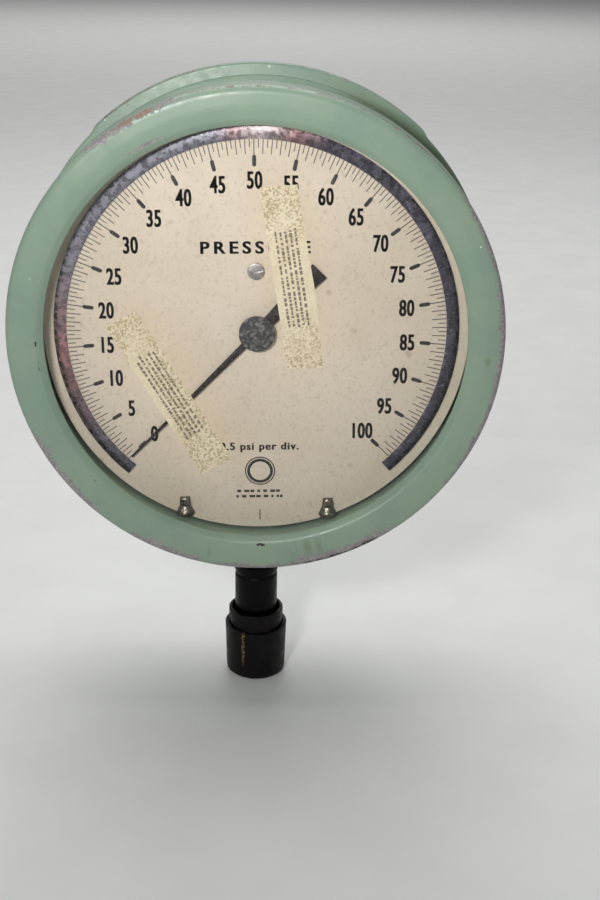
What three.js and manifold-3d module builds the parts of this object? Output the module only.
// Six inch Bourdon tube test gauge, lower connection, modelled as it comes apart on a bench.
// Millimetres, +Z up. The dial faces -Y, and the origin is the centre of the case's back face.
import * as THREE from "three";
import { mergeVertices } from "three/addons/utils/BufferGeometryUtils.js";
import Module from "manifold-3d";

const wasm = await Module();
wasm.setup();

// ---- driving dimensions -------------------------------------------------------------------
const GAP = 0.3; // room left between two touching pieces
const DIAL_Y = -45; // front face of the dial
const DIAL_TURN = -1.25; // degrees: the dial sits slightly turned in its case

const CASE = { wallR: 85, boreR: 79.2, backT: 4, rimY: -53.2, rimR: 92.4, lowRimR: 91.4, stepR: 87.7, stepY: -6 };
const RING = {
  lipR: 76.2, chamferR: 78, faceR: 87.2, outerR: 89.8, skirtR: 85.4, backY: -47, lipY: -58.3, faceY: -61.75,
};
const WINDOW = { r: 84.7, backY: -55, frontY: -58 };
const DIAL = { r: 77.9, t: 1, boreR: 4 };
const MIRROR = { inR: 69.4, outR: 74, spanDeg: 276, t: 0.3 };
const TOP_SCREW = { x: 0, z: 22.55 };
const LOW_SCREWS = [{ side: "left", x: -28.5, z: -66.6 }, { side: "right", x: 26, z: -67.8 }];
const POINTER = { y: -46.5, t: 0.6, tipR: 67.7, tailR: 32.3, restDeg: 225, discR: 3.4 };
const HUB = { r: 6.6, backY: -47.4, t: 1.5, boreY: -48.3, edge: 0.3 };

const GEAR = { module: 0.8, pinionTeeth: 10, sectorTeeth: 80, y: -27.2, t: 1.6 };
const PINION_R = (GEAR.module * GEAR.pinionTeeth) / 2;
const SECTOR_R = (GEAR.module * GEAR.sectorTeeth) / 2;
const CENTRES = PINION_R + SECTOR_R;
const SECTOR_AT = { x: 12, z: -Math.sqrt(CENTRES ** 2 - 12 ** 2) };
const TAIL_PIN = { x: 19.03, z: -43.67 }; // on the sector's tail, at zero pressure
const TIP_PIN = { x: 51, z: -14 }; // on the tube's tip piece, at zero pressure
const SHAFT_R = 1.5;
const SHOULDER_R = 2.5; // of both arbors
const PIN = { r: 0.9, headR: 2.3, headT: 0.9, eyeR: 1.6, linkHalfW: 2.8 }; // the eye has play, for the open pivot
const PLATE = { t: 1.5, backY: -19.8, frontY: -34 };
const PILLARS = [[-13, 15], [13, 15], [-14, -38], [25, -19]];

const TUBE = { r: 54, startDeg: 195.8, endDeg: 445, y: -24, width: 14, thick: 5 };
const STEM = { y: -27.5, neckR: 8.6, threadR: 6.85, neckEndZ: -121, endZ: -143.5, boreR: 2 };
const BLOCK = { halfX: 14, topZ: -46, lowZ: -66, backY: -16, frontY: -39 };
const NECK = { waistR: 8.2, waistZ: -88.6, beadR: 8.7, beadTopZ: -102, beadLowZ: -105, grooveLowZ: -106.4 };
const TONGUE = { x: -2, width: 20, t: 3.5, height: 28, rootT: 2 }; // carries the movement, on top of the block
const SEAL = { inR: 9, outR: 11.5, topZ: -85.6, lowZ: -87.4 };
const RESTRICTOR = { topZ: -136, lowZ: -142, boreR: 0.5 };
const SLEEVE = { outR: 11.05, inR: 9.75, gripR: 7.15, topZ: -122.2, stepZ: -137, lowZ: -148.6, endT: 1.5 };
const CAP = { topR: 12.6, lowR: 12, inR: 11.35, topZ: -128.8, lowZ: -151, endT: 1.8 };
const THROUGH = 60; // long enough to pass right through what a hole is cut in

// ---- finishes -----------------------------------------------------------------------------
const finish = (color, roughness, metalness = 0) => new THREE.MeshStandardMaterial({ color, roughness, metalness });
const GREEN = finish(0x8ba891, 0.5);
const BRASS = finish(0xb08d4a, 0.35, 1);
const BRONZE = finish(0xa9743f, 0.4, 1);
const STEEL = finish(0x9c9d9f, 0.35, 1);
const CREAM = finish(0xd3c8b6, 0.6);
const DARK = finish(0x34333a, 0.6);
const BLACK = finish(0x1a1719, 0.45);
const PAPER = finish(0xe3d6b0, 0.8);
const GLASS = finish(0xeef4f2, 0.05);
const MIRRORED = finish(0x6c6c78, 0.15, 1);

// ---- solids -------------------------------------------------------------------------------
/** Merges a closed geometry's vertices and turns its faces outwards. */
function closed(geometry) {
  const bare = geometry.clone();
  bare.deleteAttribute("normal");
  bare.deleteAttribute("uv");
  const merged = mergeVertices(bare, 1e-4);
  const p = merged.attributes.position;
  const index = merged.index.array;
  const corner = [new THREE.Vector3(), new THREE.Vector3(), new THREE.Vector3()];
  const kept = [];
  let volume = 0;
  for (let i = 0; i < index.length; i += 3) {
    const [a, b, c] = [index[i], index[i + 1], index[i + 2]];
    if (a === b || b === c || c === a) continue; // a seam or pole triangle with no area
    kept.push(a, b, c);
    corner.forEach((v, k) => v.fromBufferAttribute(p, index[i + k]));
    volume += corner[0].dot(corner[1].clone().cross(corner[2]));
  }
  if (volume < 0) kept.reverse();
  merged.setIndex(kept);
  return merged;
}

function toSolid(geometry) {
  const g = closed(geometry);
  const vertProperties = new Float32Array(g.attributes.position.array);
  return new wasm.Manifold(new wasm.Mesh({ numProp: 3, vertProperties, triVerts: new Uint32Array(g.index.array) }));
}

function toGeometry(solid) {
  const mesh = solid.getMesh();
  const g = new THREE.BufferGeometry();
  g.setAttribute("position", new THREE.BufferAttribute(new Float32Array(mesh.vertProperties), 3));
  g.setIndex([...mesh.triVerts]);
  g.computeVertexNormals();
  return g;
}

const join = (first, ...rest) => toGeometry(rest.reduce((s, g) => s.add(toSolid(g)), toSolid(first)));
const cut = (first, ...rest) => toGeometry(rest.reduce((s, g) => s.subtract(toSolid(g)), toSolid(first)));

/** A profile of [radius, y] points turned about the gauge's own axis. A ring's profile closes on itself. */
function turned(points, segments = 60, ring = false) {
  const profile = points.map(([r, y]) => new THREE.Vector2(r, y));
  if (ring) profile.push(profile[0].clone());
  return closed(new THREE.LatheGeometry(profile, segments));
}

/** A rod along the gauge's axis, from y = back to y = front, at (x, z). */
function rod(r, back, front, x = 0, z = 0, segments = 12) {
  const g = new THREE.CylinderGeometry(r, r, Math.abs(back - front), segments);
  return g.translate(x, (back + front) / 2, z);
}

/** A flat piece: an outline in (x, z), from y = back forwards by its thickness. */
function flat(outline, back, thickness, curveSegments = 8) {
  const g = new THREE.ExtrudeGeometry(outline, { depth: thickness, bevelEnabled: false, curveSegments });
  return g.rotateX(Math.PI / 2).translate(0, back, 0);
}

/** A profile of [radius, z] points turned about the stem's axis. */
function turnedOnStem(points, segments = 28, ring = false) {
  return turned(points, segments, ring).rotateX(Math.PI / 2).translate(0, STEM.y, 0);
}

const degrees = (d) => (d * Math.PI) / 180;
/** The point at a radius and a clock angle, in degrees clockwise from 12 o'clock. */
const clock = (r, deg) => new THREE.Vector2(r * Math.sin(degrees(deg)), r * Math.cos(degrees(deg)));

function circle(x, z, r) {
  const path = new THREE.Path();
  path.absarc(x, z, r, 0, 2 * Math.PI, false);
  return path;
}

function disc(r, holes = []) {
  const s = new THREE.Shape();
  s.absarc(0, 0, r, 0, 2 * Math.PI, false);
  s.holes = holes;
  return s;
}

/** A band of a ring between two clock angles. */
function arcBand(inR, outR, fromDeg, toDeg, steps) {
  const at = (r, i) => clock(r, fromDeg + ((toDeg - fromDeg) * i) / steps);
  const outer = Array.from({ length: steps + 1 }, (_, i) => at(outR, i));
  const inner = Array.from({ length: steps + 1 }, (_, i) => at(inR, steps - i));
  return new THREE.Shape([...outer, ...inner]);
}

/** The outline of a bar with round ends, between two points. */
function bar(a, b, r, holes = []) {
  const dir = Math.atan2(b.z - a.z, b.x - a.x);
  const s = new THREE.Shape();
  s.absarc(a.x, a.z, r, dir + Math.PI / 2, dir + 1.5 * Math.PI, false);
  s.absarc(b.x, b.z, r, dir - Math.PI / 2, dir + Math.PI / 2, false);
  s.holes = holes;
  return s;
}

const gauge = new THREE.Group();
const dialGroup = new THREE.Group(); // the dial and all that is set by it
dialGroup.rotation.y = degrees(DIAL_TURN);
gauge.add(dialGroup);

function piece(name, geometry, material, parent = gauge) {
  const mesh = new THREE.Mesh(geometry, material);
  mesh.name = name;
  parent.add(mesh);
  return mesh;
}

// ---- case, ring and window ----------------------------------------------------------------
const LOBE_DEG = 43.5; // the rim stands a little higher over the top of the case
const BLOWOUT = { z: 48, r: 11, backY: -0.4, frontY: -3 };
const POST_PAD = { r: 5, frontY: -7 }; // inside the back, under each low dial post
const BOSS = { x: 8, z: -56, r: 6, screwR: 2, headR: 4, headY: -0.5, headDepth: 2.6 };
const RIM_EDGE = 0.8; // the rear rim's front and back edges are broken by this much
const INSET = 2; // how far a boss or pad is rooted in the case's back

function caseGeometry() {
  const wall = turned([
    [0, 0], [CASE.lowRimR - RIM_EDGE, 0], [CASE.lowRimR, -RIM_EDGE], [CASE.lowRimR, RIM_EDGE - CASE.backT],
    [CASE.lowRimR - RIM_EDGE, -CASE.backT], [CASE.stepR, -CASE.backT], [CASE.stepR, CASE.stepY],
    [CASE.wallR, CASE.stepY - RIM_EDGE], [CASE.wallR, CASE.rimY],
    [CASE.boreR, CASE.rimY], [CASE.boreR, -CASE.backT], [0, -CASE.backT],
  ]);
  const lobe = flat(arcBand(CASE.stepR + 1, CASE.rimR, -LOBE_DEG, LOBE_DEG, 20), -RIM_EDGE / 2, CASE.backT - RIM_EDGE);
  const bosses = [-1, 1].map((s) => rod(BOSS.r, -INSET, BLOCK.backY + GAP, s * BOSS.x, BOSS.z, 16));
  const posts = LOW_SCREWS.map(({ x, z }) =>
    rod(POST_PAD.r, -INSET, POST_PAD.frontY, x, z, 16).rotateY(degrees(DIAL_TURN)));
  const body = join(wall, lobe, ...bosses, ...posts);
  const screwHoles = [-1, 1].flatMap((s) => [
    rod(BOSS.screwR + GAP, 1, -20, s * BOSS.x, BOSS.z),
    rod(BOSS.headR + GAP, 1, -BOSS.headDepth, s * BOSS.x, BOSS.z),
  ]);
  const blowout = rod(BLOWOUT.r + GAP, 1, -6, 0, BLOWOUT.z, 28);
  const stemHoleR = STEM.neckR + 2 * GAP;
  const stem = turnedOnStem([[0, -70], [stemHoleR, -70], [stemHoleR, -90], [0, -90]]); // through the case's wall
  return cut(body, ...screwHoles, blowout, stem);
}

piece("case", caseGeometry(), GREEN);
piece("blowout_disc", turned([
  [0, BLOWOUT.backY], [BLOWOUT.r - 0.6, BLOWOUT.backY], [BLOWOUT.r, BLOWOUT.backY - 0.6],
  [BLOWOUT.r, BLOWOUT.frontY], [0, BLOWOUT.frontY],
], 28).translate(0, 0, BLOWOUT.z), BLACK);

piece("bezel_ring", turned([
  // the lip and its chamfer, the face, the rounded outer corner, then the plain side and the skirt's bore
  [RING.lipR, RING.lipY], [RING.lipR, RING.lipY - 0.6], [RING.chamferR, RING.faceY + 0.65],
  [RING.chamferR + 1, RING.faceY + 0.3], [RING.faceR - 1, RING.faceY], [RING.faceR, RING.faceY + 0.15],
  [RING.faceR + 1.4, RING.faceY + 0.85], [RING.outerR - 0.4, RING.faceY + 1.75], [RING.outerR, RING.faceY + 2.75],
  [RING.outerR, RING.backY - 0.6], [RING.outerR - 0.6, RING.backY],
  [RING.skirtR, RING.backY], [RING.skirtR, RING.lipY],
], 60, true), GREEN);
piece("window_gasket", turned([
  [CASE.boreR + GAP, CASE.rimY - GAP], [CASE.wallR - GAP, CASE.rimY - GAP],
  [CASE.wallR - GAP, WINDOW.backY + GAP], [CASE.boreR + GAP, WINDOW.backY + GAP],
], 48, true), BLACK);
piece("window", turned([
  [0, WINDOW.backY], [WINDOW.r, WINDOW.backY], [WINDOW.r, WINDOW.frontY], [0, WINDOW.frontY],
]), GLASS);

// Two paper strips on the window's inner face, each an outline of (x, z) corners.
const STRIP_T = 0.3;
const STRIPS = {
  left: [[-54.3, 4.9], [-43.2, 10.8], [-37.9, 1.8], [-9.95, -46.2], [-21.3, -52.5]],
  right: [[1.9, 54.4], [15.1, 55.4], [18.4, 34], [21.2, 17.5], [24.1, -11], [11.1, -11.4]],
};
for (const [side, corners] of Object.entries(STRIPS)) {
  const outline = new THREE.Shape(corners.map(([x, z]) => new THREE.Vector2(x, z)));
  piece(`paper_strip_${side}`, closed(flat(outline, WINDOW.backY + GAP + STRIP_T, STRIP_T)), PAPER, dialGroup);
}

// ---- dial -----------------------------------------------------------------------------------
const DIAL_SCREW = { shaftR: 1.2, topHeadR: 3.2, lowHeadR: 2, headT: 0.7, backY: -40, holeT: 5.2 };
const SLOT = { width: 0.7, depth: 0.6 };
const dialHoles = [circle(0, 0, DIAL.boreR), circle(TOP_SCREW.x, TOP_SCREW.z, DIAL_SCREW.shaftR + GAP),
  ...LOW_SCREWS.map(({ x, z }) => circle(x, z, DIAL_SCREW.shaftR + GAP))];
piece("dial", closed(flat(disc(DIAL.r, dialHoles), DIAL_Y + DIAL.t, DIAL.t, 24)), CREAM, dialGroup);
piece("mirror_band", closed(flat(arcBand(MIRROR.inR, MIRROR.outR, -MIRROR.spanDeg / 2, MIRROR.spanDeg / 2, 40),
  DIAL_Y - GAP, MIRROR.t)), MIRRORED, dialGroup);

/** A dial screw: its head in front of what it holds, and its shaft back into a post. */
function dialScrew(headR, headBack, x, z) {
  const slot = new THREE.BoxGeometry(headR * 2 + 1, SLOT.depth, SLOT.width)
    .translate(x, headBack - DIAL_SCREW.headT, z);
  return cut(join(rod(headR, headBack, headBack - DIAL_SCREW.headT, x, z, 20),
    rod(DIAL_SCREW.shaftR, DIAL_SCREW.backY, headBack - 0.2, x, z)), slot);
}

/** A post behind the dial, with a blind hole for its screw. */
function dialPost(r, back, x, z) {
  const front = DIAL_Y + DIAL.t + GAP;
  return cut(rod(r, back, front, x, z, 16), rod(DIAL_SCREW.shaftR + GAP, front + DIAL_SCREW.holeT, front - 1, x, z));
}

const plateFront = PLATE.frontY - PLATE.t;
piece("dial_screw_top", dialScrew(DIAL_SCREW.topHeadR, DIAL_Y - GAP, TOP_SCREW.x, TOP_SCREW.z), STEEL, dialGroup);
piece("dial_post_top", dialPost(3, plateFront - GAP, TOP_SCREW.x, TOP_SCREW.z), BRASS, dialGroup);

const CLIP = { halfW: 3.3, t: 0.5, reach: 78.6, pegR: 1.1, pegY: -48.6 };
for (const { side, x, z } of LOW_SCREWS) {
  const away = Math.hypot(x, z);
  const at = (r) => ({ x: (x * r) / away, z: (z * r) / away });
  const end = at(CLIP.reach - CLIP.halfW);
  const peg = at(CLIP.reach - 2);
  const tongue = bar({ x, z }, end, CLIP.halfW, [circle(x, z, DIAL_SCREW.shaftR + GAP)]);
  const clip = join(flat(tongue, DIAL_Y - GAP, CLIP.t), rod(CLIP.pegR, DIAL_Y - GAP, CLIP.pegY, peg.x, peg.z));
  piece(`dial_clip_${side}`, clip, STEEL, dialGroup);
  piece(`dial_screw_${side}`, dialScrew(DIAL_SCREW.lowHeadR, DIAL_Y - 2 * GAP - CLIP.t, x, z), STEEL, dialGroup);
  piece(`dial_post_${side}`, dialPost(3.5, POST_PAD.frontY - GAP, x, z), STEEL, dialGroup);
}

// ---- pointer --------------------------------------------------------------------------------
/** A straight blade, slim towards its tip, with a broad square-ended tail, pointing to 12 o'clock. */
function pointerGeometry() {
  const { tipR, tailR } = POINTER;
  const half = [[-3.55, -tailR], [-2.1, -6], [-1.25, 6], [-0.35, tipR]]; // half widths, tail to tip
  const outline = new THREE.Shape([...half.map(([x, z]) => new THREE.Vector2(-x, z)),
    ...half.reverse().map(([x, z]) => new THREE.Vector2(x, z))]);
  const round = flat(disc(POINTER.discR), POINTER.y, POINTER.t, 10);
  return cut(join(flat(outline, POINTER.y, POINTER.t), round), rod(SHAFT_R + GAP, 0, -THROUGH));
}
piece("pointer", pointerGeometry(), DARK, dialGroup).rotation.y = degrees(POINTER.restDeg);
const hubFront = HUB.backY - HUB.t;
piece("pointer_hub", cut(
  turned([[0, HUB.backY], [HUB.r, HUB.backY], [HUB.r, hubFront + HUB.edge], [HUB.r - HUB.edge, hubFront],
    [0, hubFront]], 32),
  rod(SHAFT_R + GAP, 0, HUB.boreY),
), DARK, dialGroup);

// ---- gears ----------------------------------------------------------------------------------
/** The outline of a run of gear teeth about a centre: straight-sided teeth with room for play. */
function toothPoints(centre, teeth, pitchR, middleDeg, count) {
  const pitch = 360 / teeth;
  const [rootR, tipR] = [pitchR - 1.25 * GEAR.module, pitchR + 0.8 * GEAR.module];
  const [rootHalf, tipHalf] = [0.27 * pitch, 0.1 * pitch];
  const points = [];
  for (let i = 0; i < count; i += 1) {
    const mid = middleDeg + (i - (count - 1) / 2) * pitch;
    for (const [r, off] of [[rootR, -rootHalf], [tipR, -tipHalf], [tipR, tipHalf], [rootR, rootHalf]]) {
      const p = clock(r, mid + off);
      points.push(new THREE.Vector2(centre.x + p.x, centre.z + p.y));
    }
  }
  return points;
}

// At rest a tooth of the sector points at the pinion's centre, and a space of the pinion faces it.
const toPinion = (Math.atan2(-SECTOR_AT.x, -SECTOR_AT.z) * 180) / Math.PI; // clock angle, sector to pinion
const SWEEP_DEG = 33.75;
const SECTOR_COUNT = 11; // teeth
const sectorPitch = 360 / GEAR.sectorTeeth;

function sectorGeometry() {
  const teeth = toothPoints(SECTOR_AT, GEAR.sectorTeeth, SECTOR_R, toPinion + 4 * sectorPitch, SECTOR_COUNT);
  const first = toPinion - sectorPitch * 1.3;
  const last = toPinion + SWEEP_DEG + sectorPitch * 1.8;
  const inner = Array.from({ length: 9 }, (_, i) => clock(26, last - ((last - first) * i) / 8));
  const rim = new THREE.Shape([...teeth, ...inner.map((p) => new THREE.Vector2(SECTOR_AT.x + p.x, SECTOR_AT.z + p.y))]);
  const along = (deg, r) => {
    const p = clock(r, deg);
    return { x: SECTOR_AT.x + p.x, z: SECTOR_AT.z + p.y };
  };
  const arms = [first + 4, last - 4].map((deg) => flat(bar(SECTOR_AT, along(deg, 27.5), 1.8), GEAR.y, GEAR.t));
  const tail = flat(bar(SECTOR_AT, TAIL_PIN, PIN.linkHalfW), GEAR.y, GEAR.t);
  const boss = rod(5, GEAR.y, GEAR.y - GEAR.t, SECTOR_AT.x, SECTOR_AT.z);
  return cut(join(flat(rim, GEAR.y, GEAR.t), boss, ...arms, tail),
    rod(SHAFT_R + GAP, 0, -THROUGH, SECTOR_AT.x, SECTOR_AT.z), rod(PIN.r + GAP, 0, -THROUGH, TAIL_PIN.x, TAIL_PIN.z));
}
piece("sector_gear", sectorGeometry(), BRASS);

/** A shaft with a shoulder behind its gear, running through both movement plates. */
function shaft(front, x, z, shoulderFront) {
  return join(rod(SHAFT_R, PLATE.backY + 1, front, x, z, 16),
    rod(SHOULDER_R, PLATE.backY - PLATE.t - 0.5, shoulderFront, x, z, 16));
}
piece("sector_arbor", shaft(plateFront - 1, SECTOR_AT.x, SECTOR_AT.z, GEAR.y + GAP), STEEL);

/** The pointer's arbor, with a pinion that stands past the sector by the same amount on both sides. */
function pinionGeometry() {
  const past = 1.4;
  const teeth = toothPoints({ x: 0, z: 0 }, GEAR.pinionTeeth, PINION_R, toPinion + 180, GEAR.pinionTeeth);
  return join(flat(new THREE.Shape(teeth), GEAR.y + past, GEAR.t + 2 * past), shaft(HUB.boreY + GAP, 0, 0, GEAR.y + 2));
}
piece("pointer_arbor", pinionGeometry(), STEEL);

// ---- hairspring -----------------------------------------------------------------------------
const HAIR = { y: -32, t: 0.8, inR: 3.4, outR: 9.2, turns: 4, stepsPerTurn: 16, wireT: 0.3 };
const COLLET = { r: 2.9, backY: -31.8, t: 1.3 };
const STUD_R = 1;
piece("hairspring_collet", closed(flat(disc(COLLET.r, [circle(0, 0, SHAFT_R + GAP)]), COLLET.backY, COLLET.t)), BRASS);
const spiral = (extra) => Array.from({ length: HAIR.turns * HAIR.stepsPerTurn + 1 }, (_, i) => {
  const share = i / (HAIR.turns * HAIR.stepsPerTurn);
  return clock(HAIR.inR + (HAIR.outR - HAIR.inR) * share + extra, share * HAIR.turns * 360 - 90);
});
piece("hairspring", closed(flat(new THREE.Shape([...spiral(0), ...spiral(HAIR.wireT).reverse()]), HAIR.y, HAIR.t)),
  BRONZE);
const studX = -(HAIR.outR + HAIR.wireT + STUD_R + GAP);
piece("hairspring_stud", rod(STUD_R, HAIR.y + 0.6, PLATE.frontY + GAP, studX, 0, 12), BRASS);

// ---- movement plates ------------------------------------------------------------------------
const PILLAR = { r: 2.2, holeR: 1.1, holeT: 3 };
const PLATE_SCREW = { r: 0.8, holeR: 1, headR: 1.9, headT: 1 };
const BRACKET_SCREW = { r: 1.2, headR: 2.2, headT: 1.3, holeT: 4, shaftY: -17.2 };
const PLATE_OUTLINE = [[-17, 19], [-5, 19], [-4, 27], [4, 27], [5, 19], [17, 19], [17, -4], [29, -12], [29, -24],
  [19, -38.5], [6, -43.5], [-18, -43.5], [-18, -34], [-9, -24], [-9, -10], [-17, 8]];
function movementPlate(back, extraHoles) {
  const s = new THREE.Shape(PLATE_OUTLINE.map(([x, z]) => new THREE.Vector2(x, z)));
  s.holes = [circle(0, 0, SHAFT_R + GAP), circle(SECTOR_AT.x, SECTOR_AT.z, SHAFT_R + GAP), ...extraHoles];
  return closed(flat(s, back, PLATE.t, 8));
}
const BRACKET_SCREWS = [{ side: "left", x: -7, z: -28 }, { side: "right", x: 3, z: -40 }];
const screwHole = (r) => ({ x, z }) => circle(x, z, r + GAP);
piece("movement_back_plate", movementPlate(PLATE.backY, BRACKET_SCREWS.map(screwHole(BRACKET_SCREW.r))), BRASS);
const pillarHoles = PILLARS.map(([x, z]) => circle(x, z, PLATE_SCREW.holeR + GAP));
piece("movement_front_plate", movementPlate(PLATE.frontY, pillarHoles), BRASS);
PILLARS.forEach(([x, z], i) => {
  const back = PLATE.backY - PLATE.t - GAP;
  const front = PLATE.frontY + GAP;
  const head = plateFront - GAP;
  const hole = rod(PILLAR.holeR, front + PILLAR.holeT, front - 1, x, z, 12);
  piece(`movement_pillar_${i + 1}`, cut(rod(PILLAR.r, back, front, x, z), hole), BRASS);
  piece(`plate_screw_${i + 1}`, join(rod(PLATE_SCREW.r, front + PILLAR.holeT - 0.5, head - 0.2, x, z, 12),
    rod(PLATE_SCREW.headR, head, head - PLATE_SCREW.headT, x, z)), STEEL);
});
for (const { side, x, z } of BRACKET_SCREWS) {
  const head = PLATE.backY - PLATE.t - GAP;
  piece(`bracket_screw_${side}`, join(rod(BRACKET_SCREW.r, BRACKET_SCREW.shaftY, head - 0.2, x, z),
    rod(BRACKET_SCREW.headR, head, head - BRACKET_SCREW.headT, x, z)), STEEL);
}

// ---- socket ---------------------------------------------------------------------------------
function socketGeometry() {
  const { halfX, topZ, lowZ, backY, frontY } = BLOCK;
  const block = new THREE.BoxGeometry(halfX * 2, backY - frontY, topZ - lowZ)
    .translate(0, (backY + frontY) / 2, (topZ + lowZ) / 2);
  const tongue = new THREE.BoxGeometry(TONGUE.width, TONGUE.t, TONGUE.height)
    .translate(TONGUE.x, backY - TONGUE.t / 2, topZ + TONGUE.height / 2 - TONGUE.rootT);
  const { waistR, waistZ, beadR, beadTopZ, beadLowZ, grooveLowZ } = NECK;
  const step = 0.4; // how far each shoulder of the neck runs along it
  const neck = turnedOnStem([
    [0, lowZ + 3], [STEM.neckR, lowZ + 3], [STEM.neckR, waistZ + step], [waistR, waistZ], [waistR, beadTopZ + step],
    [beadR, beadTopZ], [beadR, beadLowZ], [waistR, beadLowZ - step], [waistR, grooveLowZ],
    [STEM.neckR, grooveLowZ - step], [STEM.neckR, STEM.neckEndZ], [STEM.threadR, STEM.neckEndZ - 1],
    [STEM.threadR - 0.6, STEM.endZ + 1], [STEM.threadR - 1.4, STEM.endZ], [0, STEM.endZ],
  ]);
  const bore = boreOnStem(STEM.boreR, BOSS.z - 1, 12);
  const screws = [-1, 1].map((s) => rod(BOSS.screwR + GAP, backY + 1, backY - 7, s * BOSS.x, BOSS.z));
  const taps = BRACKET_SCREWS.map(({ x, z }) =>
    rod(BRACKET_SCREW.r + GAP, backY + 1, backY - BRACKET_SCREW.holeT, x, z));
  return cut(join(block, tongue, neck), bore, ...screws, ...taps);
}
/** The solid of a bore up the stem, from below its end to a height. */
function boreOnStem(r, topZ, segments) {
  const lowZ = STEM.endZ - 6;
  return turnedOnStem([[0, topZ], [r, topZ], [r, lowZ], [0, lowZ]], segments);
}
piece("socket", socketGeometry(), BRASS);
const restrictorR = STEM.boreR - GAP;
const restrictorBody = turnedOnStem([[0, RESTRICTOR.topZ], [restrictorR, RESTRICTOR.topZ],
  [restrictorR, RESTRICTOR.lowZ], [0, RESTRICTOR.lowZ]], 12);
const restrictorBore = boreOnStem(RESTRICTOR.boreR, RESTRICTOR.topZ + 6, 8);
piece("restrictor_screw", cut(restrictorBody, restrictorBore), STEEL);
piece("socket_seal", turnedOnStem([[SEAL.inR, SEAL.topZ], [SEAL.outR, SEAL.topZ], [SEAL.outR, SEAL.lowZ],
  [SEAL.inR, SEAL.lowZ]], 36, true), BLACK);
for (const [side, s] of [["left", -1], ["right", 1]]) {
  const x = s * BOSS.x;
  const slot = new THREE.BoxGeometry(BOSS.headR * 2 + 1, 2 * SLOT.depth, 1).translate(x, BOSS.headY, BOSS.z);
  const head = rod(BOSS.headR, BOSS.headY, GAP - BOSS.headDepth, x, BOSS.z, 20);
  const shank = rod(BOSS.screwR, 0.5 - BOSS.headDepth, BLOCK.backY - 6, x, BOSS.z);
  piece(`case_screw_${side}`, cut(join(head, shank), slot), STEEL);
}

// ---- Bourdon tube, its tip and the link ---------------------------------------------------
/** The tube's flattened section, turned part of the way round the gauge's axis and closed at both ends. */
function tubeGeometry() {
  const section = new THREE.Shape();
  section.absellipse(0, 0, TUBE.thick / 2, TUBE.width / 2, 0, 2 * Math.PI, false);
  const round = section.getPoints(6).slice(0, -1);
  const steps = 36;
  const at = (p, deg) => {
    const c = clock(TUBE.r + p.x, deg);
    return [c.x, TUBE.y + p.y, c.y];
  };
  const degAt = (i) => TUBE.startDeg + ((TUBE.endDeg - TUBE.startDeg) * i) / steps;
  const rings = Array.from({ length: steps + 1 }, (_, i) => round.map((p) => at(p, degAt(i))));
  const ends = [at({ x: 0, y: 0 }, degAt(0)), at({ x: 0, y: 0 }, degAt(steps))];
  const [n, last] = [round.length, (steps + 1) * round.length];
  const index = [];
  for (let k = 0; k < n; k += 1) {
    const next = (k + 1) % n;
    for (let i = 0; i < steps; i += 1) {
      const [a, b, c, d] = [i * n + k, i * n + next, (i + 1) * n + next, (i + 1) * n + k];
      index.push(a, b, c, a, c, d);
    }
    index.push(last, next, k, last + 1, steps * n + k, steps * n + next);
  }
  const g = new THREE.BufferGeometry();
  g.setAttribute("position", new THREE.Float32BufferAttribute([...rings.flat(2), ...ends.flat()], 3));
  g.setIndex(index);
  return closed(g);
}
piece("bourdon_tube", tubeGeometry(), BRONZE);

/** The block that closes the tube's free end, with a lug for the link. */
function tipGeometry() {
  const halfT = 3.4;
  const fromDeg = TUBE.endDeg - 360 + 0.6; // a hair past the tube's own end
  const plug = flat(arcBand(TUBE.r - halfT, TUBE.r + halfT, fromDeg, 97, 4), TUBE.y + TUBE.width / 2, TUBE.width);
  const root = clock(TUBE.r, 94);
  const lug = flat(bar({ x: root.x, z: root.y }, TIP_PIN, 3), GEAR.y, GEAR.t);
  return cut(join(plug, lug), rod(PIN.r + GAP, 0, -THROUGH, TIP_PIN.x, TIP_PIN.z));
}
piece("tube_tip", tipGeometry(), BRASS);

const linkBack = GEAR.y - GEAR.t - GAP;
const LINK_T = 1;
piece("link", closed(flat(bar(TIP_PIN, TAIL_PIN, PIN.linkHalfW,
  [circle(TIP_PIN.x, TIP_PIN.z, PIN.r + GAP), circle(TAIL_PIN.x, TAIL_PIN.z, PIN.eyeR)]), linkBack, LINK_T)), STEEL);
for (const [name, at] of [["link_pin_tip", TIP_PIN], ["link_pin_sector", TAIL_PIN]]) {
  const front = linkBack - LINK_T - GAP;
  piece(name, join(rod(PIN.r, GEAR.y + 0.8, front - 0.2, at.x, at.z),
    rod(PIN.headR, front, front - PIN.headT, at.x, at.z)), STEEL);
}

// ---- thread protectors ----------------------------------------------------------------------
piece("thread_sleeve", turnedOnStem([
  [SLEEVE.inR, SLEEVE.topZ], [SLEEVE.outR, SLEEVE.topZ], [SLEEVE.outR, SLEEVE.lowZ], [0, SLEEVE.lowZ],
  [0, SLEEVE.lowZ + SLEEVE.endT], [SLEEVE.gripR, SLEEVE.lowZ + SLEEVE.endT], [SLEEVE.gripR, SLEEVE.stepZ],
  [SLEEVE.inR, SLEEVE.stepZ],
  [SLEEVE.inR, SLEEVE.topZ],
]), BLACK);
piece("thread_cap", turnedOnStem([
  [CAP.inR, CAP.topZ], [CAP.topR, CAP.topZ], [CAP.lowR, CAP.lowZ + 2], [CAP.lowR - 1.6, CAP.lowZ + 0.4],
  [CAP.lowR - 4, CAP.lowZ], [0, CAP.lowZ], [0, CAP.lowZ + CAP.endT], [CAP.inR, CAP.lowZ + CAP.endT],
  [CAP.inR, CAP.topZ],
]), BLACK);

export default gauge;
